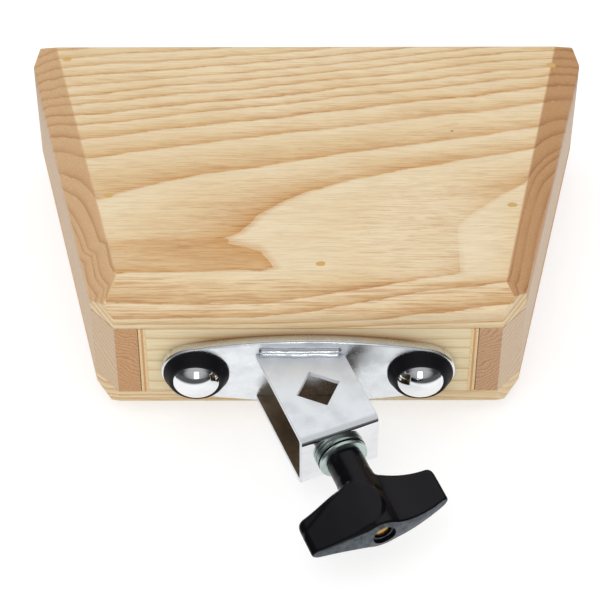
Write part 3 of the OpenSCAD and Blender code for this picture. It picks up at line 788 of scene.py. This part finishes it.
def make_bushes():
    profile = [
        (BOLT_R, -PLATE_T), (SLEEVE_R - HAIR, -PLATE_T), (SLEEVE_R - HAIR, HAIR),
        (BUSH_R - 0.3, HAIR), (BUSH_R - 0.08, 0.12), (BUSH_R, 0.35), (BUSH_R, BUSH_RIM_H - 0.3),
        (BUSH_R - 0.1, BUSH_RIM_H), (BUSH_R - 0.4, BUSH_RIM_H + 0.45), (BUSH_TOP_R + 0.7, BUSH_H - 0.75),
        (BUSH_TOP_R + 0.25, BUSH_H - 0.25), (BUSH_TOP_R - 0.1, BUSH_H - 0.02), (BUSH_TOP_R - 0.4, BUSH_H),
        (DOME_R + 0.12, BUSH_H - 0.05), (DOME_R + HAIR, BUSH_H - 0.2), (DOME_R + HAIR, BUSH_H - CUP_DEPTH),
        (BOLT_R, BUSH_H - CUP_DEPTH),
    ]
    for side, word in ((1, "right"), (-1, "left")):
        cup = lathe(profile, ROUND_STEPS, bolt_frame(side))
        piece = link(word + "_rubber_cup", cup, RUBBER, "root", 50)
        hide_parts(word + "_bush")


def thread_profile(radius, depth, phase):
    """Radius of a thread at a phase from 0 to 1 of its pitch: flat crest, sloping flanks, round root."""
    share = abs(2 * phase - 1)
    return radius - depth * min(1.0, max(0.0, (share - 0.12) / 0.7)) ** 1.2


def threaded(bm, frame_matrix, radius, depth, start, end, pitch, steps=40, rows=10):
    """Helical thread on a rod about the frame's Z axis, closed at both ends."""
    count = int((end - start) / pitch * rows)
    rings = []
    for k in range(count + 1):
        height = start + (end - start) * k / count
        fade = min(1.0, (height - start) / pitch, (end - height) / pitch)
        ring = []
        for i, (c, s) in enumerate(circle(steps)):
            phase = ((height - start) / pitch - i / steps) % 1.0
            r = min(thread_profile(radius, depth, phase), radius - depth * (1 - fade))
            ring.append(bm.verts.new(frame_matrix @ Vector((r * c, r * s, height))))
        rings.append(ring)
    skin(bm, rings)
    cap(bm, rings)


def make_bolts():
    """Domed bolts: a mirror-bright head with a small upright rim, a square neck and a threaded shank."""
    bm = bmesh.new()
    rise = DOME_H - CUP_DEPTH
    crown_r = (DOME_R ** 2 + rise ** 2) / (2 * rise)
    reach = math.asin(DOME_R / crown_r)
    dome = arc_points((0, DOME_H - crown_r), crown_r, math.pi / 2 - reach, math.pi / 2, 14)
    rim = [(0, HAIR), (DOME_R - RIM_EDGE, HAIR), (DOME_R, RIM_EDGE), (DOME_R, CUP_DEPTH - RIM_EDGE)]
    profile = rim + [(dome[0][0] - RIM_EDGE, dome[0][1])] + dome[1:-1] + [(0, DOME_H)]
    # a hair thinner than the solid
    half = SQUARE_W / 2 * 0.998
    for side in (1, -1):
        place = bolt_frame(side) @ Matrix.Translation((0, 0, BUSH_H - CUP_DEPTH))
        lathe(profile, ROUND_STEPS, place, bm)
        neck = prism([(half, half), (-half, half), (-half, -half), (half, -half)], -SQUARE_L, 0.05)
        neck.transform(place)
        mesh = to_mesh("neck", neck)
        bm.from_mesh(mesh)
        bpy.data.meshes.remove(mesh)
        threaded(bm, place, BOLT_R - 0.01, THREAD_DEPTH, -BOLT_L, -SQUARE_L + 0.05, PITCH)
    piece = link("domed_bolts", bm, CHROME, "root", 38)
    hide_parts("mount_bolts")


# Bracket and welds

def fold_rows():
    """Middle line of the folded sheet as (reach, height), from the lower foot round to the upper."""
    middle_r = BEND_R - SHEET_T / 2
    half_h = (BRACKET_H - SHEET_T) / 2
    bend = BRACKET_L - BEND_R
    rows = [(0.0, -half_h)]
    rows += arc_points((bend, middle_r - half_h), middle_r, -math.pi / 2, 0, 10)
    rows += arc_points((bend, half_h - middle_r), middle_r, 0, math.pi / 2, 10)
    rows.append((0.0, half_h))
    return rows


def make_bracket():
    """The folded bracket, whose foot is cut to the plate, with a square hole on its corner in each flange."""
    half_t = SHEET_T / 2
    half_h = BRACKET_H / 2 - half_t
    bm = bmesh.new()
    rows = fold_rows()
    count = len(rows)
    normals = [Vector((0, -1))]
    for before, after in zip(rows, rows[2:]):
        along = (Vector(after) - Vector(before)).normalized()
        normals.append(Vector((along.y, -along.x)))
    normals.append(Vector((0, 1)))
    outer, inner = [], []
    for k, ((reach, height), n) in enumerate(zip(rows, normals)):
        foot = k in (0, count - 1)
        for shell, offset in ((outer, half_t), (inner, -half_t)):
            strip = []
            for x in (BRACKET_W / 2, -BRACKET_W / 2):
                out = -x * math.tan(BRACKET_LEAN) if foot else reach + n.x * offset
                strip.append(bm.verts.new((x, out, height + n.y * offset)))
            shell.append(strip)
    reach_of_hole = ROD_HOLE / math.sqrt(2)

    def quad(a, b):
        return a[0], a[1], b[1], b[0]

    def flange_face(shell, i, height):
        """Face between a row and the next, with a square hole on its corner."""
        corners = quad(shell[i], shell[i + 1])
        edges = [bm.edges.get(pair) or bm.edges.new(pair) for pair in around(corners)]
        ways = ((reach_of_hole, 0), (0, reach_of_hole), (-reach_of_hole, 0), (0, -reach_of_hole))
        hole = [(dx, ROD_HOLE_AT + dy, height) for dx, dy in ways]
        return holed_face(bm, edges, [hole], (0, 0, 1))[0]

    holes = []
    for shell, offset in ((outer, half_t), (inner, -half_t)):
        for i in range(1, count - 2):
            face = bm.faces.new(quad(shell[i], shell[i + 1]))
            if i < count - 2 - SOFT_BEND_ROWS:
                face.material_index = 2
        low = flange_face(shell, 0, -half_h - offset)
        high = flange_face(shell, count - 2, half_h + offset)
        holes.append((low, high))
    for a, b in zip(*holes):
        skin(bm, [a, b])
    for i in range(count - 1):
        for side in (0, 1):
            bm.faces.new((outer[i][side], outer[i + 1][side], inner[i + 1][side], inner[i][side]))
    for i in (0, count - 1):
        bm.faces.new(quad(outer[i], inner[i]))
    # the inner faces take the brown chrome of painted shade and painted reflection
    inside = set(v for strip in inner + list(holes[1]) for v in strip)
    for face in bm.faces:
        if all(v in inside for v in face.verts):
            face.material_index = 1
    bmesh.ops.transform(bm, matrix=bracket_frame(), verts=bm.verts)
    piece = link("folded_bracket", bm, CHROME_SHEET, "root", 30)
    piece.data.materials.append(CHROME_INSIDE_SHADED)
    piece.data.materials.append(CHROME)
    soften(piece, 0.3, 3, 40)
    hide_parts("clamp_bracket")


def bead(bm, frame_matrix, radius, half_length, seed):
    """One pass of weld: an uneven rod that wanders a little, round at both ends."""
    rows = 120
    rings = []
    for k in range(rows + 1):
        along = -half_length + 2 * half_length * k / rows
        left = min(1.0, (half_length - abs(along)) / radius)
        swell = math.sqrt(max(0.0, 1 - (1 - left) ** 2))
        wander = 0.2 * noise.noise(Vector((along * 0.11, seed, 12.3)))
        ring = []
        for c, s in circle(32):
            lump = 0.16 * noise.noise(Vector((along * 0.14, c * 0.5 + seed, s * 0.5)))
            lump += 0.05 * noise.noise(Vector((along * 0.5, c + seed, s)))
            r = radius * swell * (1 + lump)
            ring.append(bm.verts.new(frame_matrix @ Vector((along, r * c, r * s + wander))))
        rings.append(ring)
    skin(bm, rings)
    bmesh.ops.remove_doubles(bm, verts=rings[0] + rings[-1], dist=1e-4)


def make_welds():
    foot = BRACKET_H / 2
    bm = bmesh.new()
    for radius, height, seed in (
            (BEAD_R, foot + BEAD_R / 2, 1.0),
            (SECOND_BEAD_R, foot + BEAD_R + SECOND_BEAD_R / 2, 5.0),
            (SECOND_BEAD_R, -foot, 9.0)):
        stand = radius * BEAD_STAND_SHARE - BEAD_SINK
        place = Matrix.Translation((BRACKET_SIDE, PLATE_FRONT_Y + stand, BRACKET_Z + height))
        bead(bm, place, radius * BEAD_SLIM, BEAD_L / 2, seed)
    piece = link("weld_passes", bm, CHROME_WELD, "root", 60)
    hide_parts("weld_beads")


# Clamp screw

def paint_gap_shade(piece, side):
    """Dark colour on the flat face that looks along the axis to one side: painted shade in the gap between
    the weld nut and the washer.
    """
    piece.data.materials.append(GAP_SHADE)
    along = axis_frame(0).to_3x3() @ Vector((0, 0, side))
    for face in piece.data.polygons:
        if face.normal.dot(along) > 0.9:
            face.material_index = 1


def ring_profile(radius, thickness, bore):
    """Flat ring with soft outer edges, from its back to its front."""
    corner = RING_SOFT * 0.3
    half = [(bore, 0), (radius - RING_SOFT, 0), (radius - corner, corner), (radius, RING_SOFT)]
    return half + [(r, thickness - h) for r, h in half[::-1]]


def make_rings():
    """The weld nut with its barrel, and the loose washer."""
    barrel_l = SHEET_T + BARREL_INSIDE
    nut = [
        (STUD_R + 0.06, -barrel_l), (BARREL_R - 0.3, -barrel_l), (BARREL_R - HAIR, -barrel_l + 0.3),
        (BARREL_R - HAIR, HAIR), (WELD_NUT_R - RING_SOFT, HAIR)]
    nut += ring_profile(WELD_NUT_R, WELD_NUT_T, STUD_R + 0.5)[2:] + [(STUD_R + 0.06, WELD_NUT_T - 0.45)]
    washer = ring_profile(WASHER_R, WASHER_T, STUD_R + 0.4)
    for name, profile, at, material, body, shaded_face, node in (
            ("weld_nut_ring", nut, BRACKET_L, ZINC_DARK, "root", 1, "weld_nut"),
            ("loose_washer", washer, WASHER_AT, ZINC, "washer", -1, "screw_washer")):
        piece = link(name, lathe(profile, ROUND_STEPS, axis_frame(at)), material, body, 35)
        paint_gap_shade(piece, shaded_face)
        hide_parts(node)


def make_stud():
    """The stud: a real helical thread from its tip into the knob."""
    bm = bmesh.new()
    length = STUD_END_AT - STUD_TIP_AT
    root_r, bare = STUD_R - STUD_THREAD_DEPTH, 0.9
    place = axis_frame(STUD_TIP_AT)
    tip = [(0, 0), (STUD_R - STUD_CHAMFER, 0), (root_r, 0.4), (root_r, bare + 0.1), (0, bare + 0.1)]
    end = [
        (0, length - bare - 0.1), (root_r, length - bare - 0.1), (root_r, length - 0.3),
        (STUD_R - STUD_CHAMFER - 0.2, length), (0, length)]
    lathe(tip, 48, place, bm)
    threaded(bm, place, STUD_R, STUD_THREAD_DEPTH, bare, length - bare, PITCH, 48, 12)
    lathe(end, 48, place, bm)
    piece = link("threaded_stud", bm, GOLD, "knob", 50)
    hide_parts("knob_stud")


def arc_centre(p, q, radius):
    """Centre of an arc from p to q that bulges to the left of that way."""
    p, q = Vector(p), Vector(q)
    d = q - p
    side = Vector((d.y, -d.x)) / d.length
    return (p + q) / 2 + side * math.sqrt(radius ** 2 - d.length ** 2 / 4)


def smooth_max(a, b, blend):
    """Larger of two numbers, rounded over where they come close."""
    h = np.maximum(blend - np.abs(a - b), 0.0) / blend
    return np.maximum(a, b) + h * h * blend / 4


def smooth_min(a, b, blend):
    return -smooth_max(-a, -b, blend)


# How softly the knob's forms run into each other, in millimetres
EDGE_BLEND, SIDE_BLEND, BACK_BLEND, TIP_BLEND, LOBE_BLEND = 1.0, 2.0, 2.6, 3.4, 1.8
JOIN_BLEND, LOBE_JOIN, MIDDLE_BLEND = 1.6, 1.2, 0.5
FRONT_R = (WING_HALF ** 2 + END_SAG ** 2) / (2 * END_SAG)
BACK_CENTRE = arc_centre((NECK_R, WING_ROOT), (WING_HALF, WING_SHOULDER), WING_BACK_R)
HOLLOW_CENTRE = arc_centre(
    (WING_HALF, TIP_HALF_T), (BOSS_R * math.cos(FLANK_ANGLE), BOSS_R * math.sin(FLANK_ANGLE)), FLANK_R)


def knob_distance(x, y, z):
    """Rough distance from the knob's surface, negative inside.

    Z is the screw's axis, and X runs along the wings.
    """
    side = np.where(x < 0, -1.0, 1.0)
    x, y = x * side, y * side
    r = np.hypot(x, y)
    end = z - KNOB_L + x ** 2 / (2 * FRONT_R) + y ** 2 / (2 * END_ROUND)
    end = end / np.sqrt(1 + (x / FRONT_R) ** 2 + (y / END_ROUND) ** 2)
    neck = smooth_max(smooth_max(r - NECK_R, -z, EDGE_BLEND), z - WING_ROOT - 8, SIDE_BLEND)
    boss = smooth_max(r - BOSS_R, WING_ROOT - 4 - z, 3.0)
    back = WING_BACK_R - np.hypot(x - BACK_CENTRE.x, z - BACK_CENTRE.y)
    back = np.where(x < NECK_R, np.maximum(back, WING_ROOT - z - 3), back)
    slope = (ROOT_HALF_T - TIP_HALF_T) / (WING_HALF - BOSS_R)
    straight = (-y - (TIP_HALF_T + slope * (WING_HALF - x))) / math.hypot(1, slope)
    full = smooth_max(straight, -y - ROOT_HALF_T, SIDE_BLEND)
    hollow = FLANK_R - np.hypot(x - HOLLOW_CENTRE.x, y - HOLLOW_CENTRE.y)
    hollow = smooth_max(hollow, y - HOLLOW_TOP, EDGE_BLEND)
    # the back edges are thinner
    fall = ROOT_HALF_T - BACK_HALF_T
    back_r = (THIN_L ** 2 + fall ** 2) / (2 * fall)
    thick = np.abs(y) - ROOT_HALF_T
    past = z - WING_ROOT - THIN_L
    lean = np.where(past < 0, np.hypot(thick + back_r, past) - back_r, thick)
    wing = smooth_max(smooth_max(full, hollow, SIDE_BLEND), lean, 1.5)
    wing = smooth_max(smooth_max(wing, back, BACK_BLEND), x - WING_HALF, TIP_BLEND)
    # each wing's full side is a straight face that ends in a round shoulder past the axis
    shoulder = np.where(
        x < LOBE_X, np.hypot(x - LOBE_X, z - LOBE_Z) - LOBE_R,
        np.maximum(LOBE_Z - LOBE_R + 0.5 * (x - LOBE_X) - z, z - LOBE_Z - LOBE_R))
    own = smooth_max(shoulder, smooth_max(straight, -y - LOBE_HALF_T, EDGE_BLEND), LOBE_BLEND)
    own = smooth_max(smooth_max(own, y, MIDDLE_BLEND), back, BACK_BLEND)
    own = smooth_max(own, x - WING_HALF, TIP_BLEND)
    other = smooth_max(np.hypot(x + LOBE_X, z - LOBE_Z) - LOBE_R, y - LOBE_HALF_T, LOBE_BLEND)
    other = smooth_max(other, -y, MIDDLE_BLEND)
    core = smooth_min(smooth_min(neck, boss, JOIN_BLEND), wing, JOIN_BLEND)
    core = smooth_min(smooth_min(core, own, LOBE_JOIN), other, LOBE_JOIN)
    return smooth_max(core, end, EDGE_BLEND) + KNOB_TRIM


def surface_net(field, low, high, step):
    """Closed mesh where a field crosses zero: a point in each cell that it crosses, then set onto it."""
    axes = [np.arange(a, b + step, step) for a, b in zip(low, high)]
    values = field(*np.meshgrid(*axes, indexing="ij"))
    sizes = [n - 1 for n in values.shape]
    ways = np.eye(3, dtype=int)

    def at_corner(a, b, c):
        return values[a:a + sizes[0], b:b + sizes[1], c:c + sizes[2]]

    total, hits = np.zeros(sizes + [3]), np.zeros(sizes)
    for way in ways:
        for p in map(np.array, np.ndindex(2, 2, 2)):
            if p @ way:
                continue
            a, b = at_corner(*p), at_corner(*(p + way))
            crossed = (a < 0) != (b < 0)
            share = np.where(crossed, a / np.where(crossed, a - b, 1.0), 0.0)
            total += crossed[..., None] * (p + share[..., None] * way)
            hits += crossed
    used = hits > 0
    number = np.full(sizes, -1)
    number[used] = np.arange(used.sum())
    points = (total[used] / hits[used][:, None] + np.argwhere(used)) * step + np.array(low)
    for _ in range(3):
        here = field(*points.T)
        slope = np.stack([
            (field(*(points + way).T) - field(*(points - way).T)) / 0.04 for way in ways * 0.02], 1)
        points -= (here / np.maximum((slope ** 2).sum(1), 0.1))[:, None] * slope * 0.9
    faces = []
    for axis in range(3):
        m, n = [k for k in range(3) if k != axis]
        near = [slice(1, -1)] * 3
        near[axis] = slice(0, -1)
        far = list(near)
        far[axis] = slice(1, None)
        here, beyond = values[tuple(near)] < 0, values[tuple(far)] < 0
        for place in np.argwhere(here != beyond):
            cells = [place + i * ways[m] + j * ways[n] for i, j in ((1, 1), (0, 1), (0, 0), (1, 0))]
            ring = [int(number[tuple(cell)]) for cell in cells]
            turned = bool(here[tuple(place)]) != (axis == 1)
            faces.append(ring if turned else ring[::-1])
    return points, faces


def make_knob():
    """The moulded knob as one soft-edged surface, with the stud's bore and the end hole cut into it."""
    step = 0.4
    low, high = (-WING_HALF - 1.6, -10.0, -1.6), (WING_HALF + 1.6, 10.0, KNOB_L + 1.6)
    points, faces = surface_net(knob_distance, low, high, step)
    mesh = bpy.data.meshes.new("moulded_knob")
    mesh.from_pydata([tuple(p) for p in points], [], faces)
    mesh.validate()
    place = axis_frame(KNOB_AT) @ Matrix.Rotation(KNOB_TURN, 4, "Z")
    mesh.transform(place)
    bm = bmesh.new()
    bm.from_mesh(mesh)
    bpy.data.meshes.remove(mesh)
    knob = link("moulded_knob", bm, PLASTIC, "knob", 180)
    end, bore_r = KNOB_L + 0.6, STUD_R + HAIR
    bore = lathe([
        (0, 0.4), (bore_r, 0.4), (bore_r, KNOB_L - END_HOLE_DEPTH), (END_HOLE_R, KNOB_L - END_HOLE_DEPTH),
        (END_HOLE_R, end), (0, end),
    ], 72, place)
    tool = bpy.data.objects.new("bore", to_mesh("bore", bore))
    tool.data.transform(Matrix.Scale(MM, 4))
    bpy.context.scene.collection.objects.link(tool)
    modifier = knob.modifiers.new("bore", "BOOLEAN")
    modifier.operation = "DIFFERENCE"
    modifier.object = tool
    modifier.solver = "EXACT"
    bpy.context.view_layer.update()
    made = bpy.data.meshes.new_from_object(knob.evaluated_get(bpy.context.evaluated_depsgraph_get()))
    knob.modifiers.clear()
    knob.data = made
    smooth(made, 40)
    bpy.data.objects.remove(tool)
    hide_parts("wing_knob")


def dress_cad_nodes():
    """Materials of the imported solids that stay."""
    for name, material in (
            ("back_wall", PINE), ("top_brads", ZINC), ("bottom_brads", ZINC), ("bottom_putty", PUTTY),
            ("bolt_washers", ZINC), ("bolt_nuts", ZINC)):
        mesh = NODES[name].data
        mesh.materials.clear()
        mesh.materials.append(material)


# Studio

WHITE = (1, 1, 1, 1)
FLOOR_SIZE, FLOOR_GLOW = 9.0, 0.62
FLOOR_FADE = (175, 240)
FLOOR_PALE = (0.88, 0.88, 0.88, 1)
DOME_STOPS = ((0.0, 1.0), (0.4, 0.95), (1.0, 0.82))
DOME_LEVEL = 0.96
DOME_WAY = (0, -0.5, 1)
CEILING_WAY = (0, -0.6, 1)
ROOM_STOPS = ((0.1, 0.04), (0.5, 0.05), (0.76, 0.12), (0.86, 0.75), (0.95, 1.0))
ROOM_LEVEL = 1.1
FRONT_WAY = (0, 0.85, 0.53)
FRONT_STOPS = ((0.6, 0.0), (0.95, 1.0))
FRONT_LEVEL = 0.42


def make_floor():
    """Pale floor that looks white and keeps the part's shadow."""
    corners = [(x * FLOOR_SIZE, y * FLOOR_SIZE, 0) for x, y in ((-1, -1), (1, -1), (1, 1), (-1, 1))]
    mesh = bpy.data.meshes.new("floor")
    mesh.from_pydata(corners, [], [(0, 1, 2, 3)])
    floor = bpy.data.objects.new("floor", mesh)
    bpy.context.scene.collection.objects.link(floor)
    s = Shader("floor")
    path = s.node("ShaderNodeLightPath").outputs
    grey = s.mix(s.grain(0.02), (0.5, 0.5, 0.5, 1), (0.52, 0.52, 0.52, 1))
    lit = s.node("ShaderNodeBsdfDiffuse", {"Color": s.mix(path["Is Diffuse Ray"], grey, FLOOR_PALE)})
    seen = s.most(s.most(path["Is Camera Ray"], path["Is Glossy Ray"]), path["Is Transmission Ray"])
    glow = s.node("ShaderNodeEmission", {"Color": WHITE, "Strength": seen * FLOOR_GLOW})
    near = s.node("ShaderNodeAddShader", {0: lit.outputs[0], 1: glow.outputs[0]})
    x, y, z = s.axes(s.place())
    dark = s.step(s.length(x, y), *FLOOR_FADE) * Number(s, path["Is Glossy Ray"])
    far = s.node("ShaderNodeEmission", {"Color": WHITE, "Strength": 0.1})
    shown = s.node("ShaderNodeMixShader", {0: dark, 1: near.outputs[0], 2: far.outputs[0]})
    s.node("ShaderNodeOutputMaterial", {"Surface": shown.outputs[0]})
    floor.data.materials.append(s.owner)


def make_world():
    """Soft dome for diffuse light, a darker room with bright places for reflections, white for the camera."""
    s = Shader("studio", bpy.data.worlds)
    bpy.context.scene.world = s.owner
    ray = s.node("ShaderNodeTexCoord").outputs["Generated"]
    path = s.node("ShaderNodeLightPath").outputs

    def glow(direction, stops, strength):
        """Background whose level depends on the angle between a ray and a direction, from -1 to 1."""
        way = Vector(direction).normalized()
        facing = s.node("ShaderNodeVectorMath", {0: ray, 1: way}, operation="DOT_PRODUCT").outputs["Value"]
        node = s.node("ShaderNodeValToRGB", {0: Number(s, facing) * 0.5 + 0.5})
        ramp = node.color_ramp
        ramp.interpolation = "EASE"
        while len(ramp.elements) < len(stops):
            ramp.elements.new(0.5)
        for element, (place, level) in zip(ramp.elements, stops):
            element.position = (place + 1) / 2
            element.color = (level, level, level, 1)
        return s.node("ShaderNodeBackground", {"Color": node.outputs[0], "Strength": strength}).outputs[0]

    def choose(share, first, second):
        return s.node("ShaderNodeMixShader", {0: share, 1: first, 2: second}).outputs[0]

    soft = glow(DOME_WAY, DOME_STOPS, DOME_LEVEL)
    ceiling = glow(CEILING_WAY, ROOM_STOPS, ROOM_LEVEL)
    front = glow(FRONT_WAY, FRONT_STOPS, FRONT_LEVEL)
    room = s.node("ShaderNodeAddShader", {0: ceiling, 1: front}).outputs[0]
    white = s.node("ShaderNodeBackground", {"Color": WHITE, "Strength": 1.0}).outputs[0]
    lit = choose(path["Is Glossy Ray"], soft, room)
    s.node("ShaderNodeOutputWorld", {"Surface": choose(path["Is Camera Ray"], lit, white)})


def area_light(name, place, target, size, power, diffuse=True, glossy=True):
    data = bpy.data.lights.new(name, "AREA")
    data.shape = "RECTANGLE"
    data.size, data.size_y = size
    data.energy = power
    lamp = bpy.data.objects.new(name, data)
    bpy.context.scene.collection.objects.link(lamp)
    lamp.visible_diffuse = diffuse
    lamp.visible_glossy = glossy
    lamp.location = place
    lamp.rotation_euler = (Vector(target) - Vector(place)).to_track_quat("-Z", "Y").to_euler()
    return lamp


def make_camera():
    """Camera solved from the photo, by its elevation, turn about Z, roll and distance."""
    elevation, yaw, roll = math.radians(49.612), math.radians(0.252), math.radians(-0.069)
    distance, aim = 1160.18, Vector((0, 0, 39.754))
    shift_right, shift_down = 3.215, -35.624
    right = Vector((math.cos(yaw), math.sin(yaw), 0))
    level = Vector((math.sin(yaw), -math.cos(yaw), 0))
    ahead = level * math.cos(elevation) - Vector((0, 0, math.sin(elevation)))
    down = -level * math.sin(elevation) - Vector((0, 0, math.cos(elevation)))
    turned_right = math.cos(roll) * right + math.sin(roll) * down
    turned_down = -math.sin(roll) * right + math.cos(roll) * down
    place = aim - distance * ahead - shift_right * turned_right - shift_down * turned_down

    def to_part(v):
        return Vector((-v.x, v.y, v.z))

    x, y, z = to_part(turned_right), -to_part(turned_down), -to_part(ahead)
    data = bpy.data.cameras.new("camera")
    data.lens, data.sensor_width = 156.6126, 36
    data.clip_end = 100
    camera = bpy.data.objects.new("camera", data)
    bpy.context.scene.collection.objects.link(camera)
    turn = Matrix((x, y, z)).transposed().to_4x4()
    camera.matrix_world = Matrix.Translation(to_part(place) * MM) @ turn
    bpy.context.scene.camera = camera


make_camera()
make_panels()
make_walls()
make_putty()
make_plate()
make_bushes()
make_bolts()
make_bracket()
make_welds()
make_rings()
make_stud()
make_knob()
dress_cad_nodes()
make_floor()
make_world()
area_light("key", (0.25, 0.7, 1.5), (0, 0, 0.04), (0.8, 0.8), 3.5, glossy=False)
area_light("glint", (0, 1.9, 0.5), (0, 0.1, 0.04), (0.5, 0.8), 3.2, diffuse=False)
bpy.context.scene.view_settings.view_transform = "Standard"
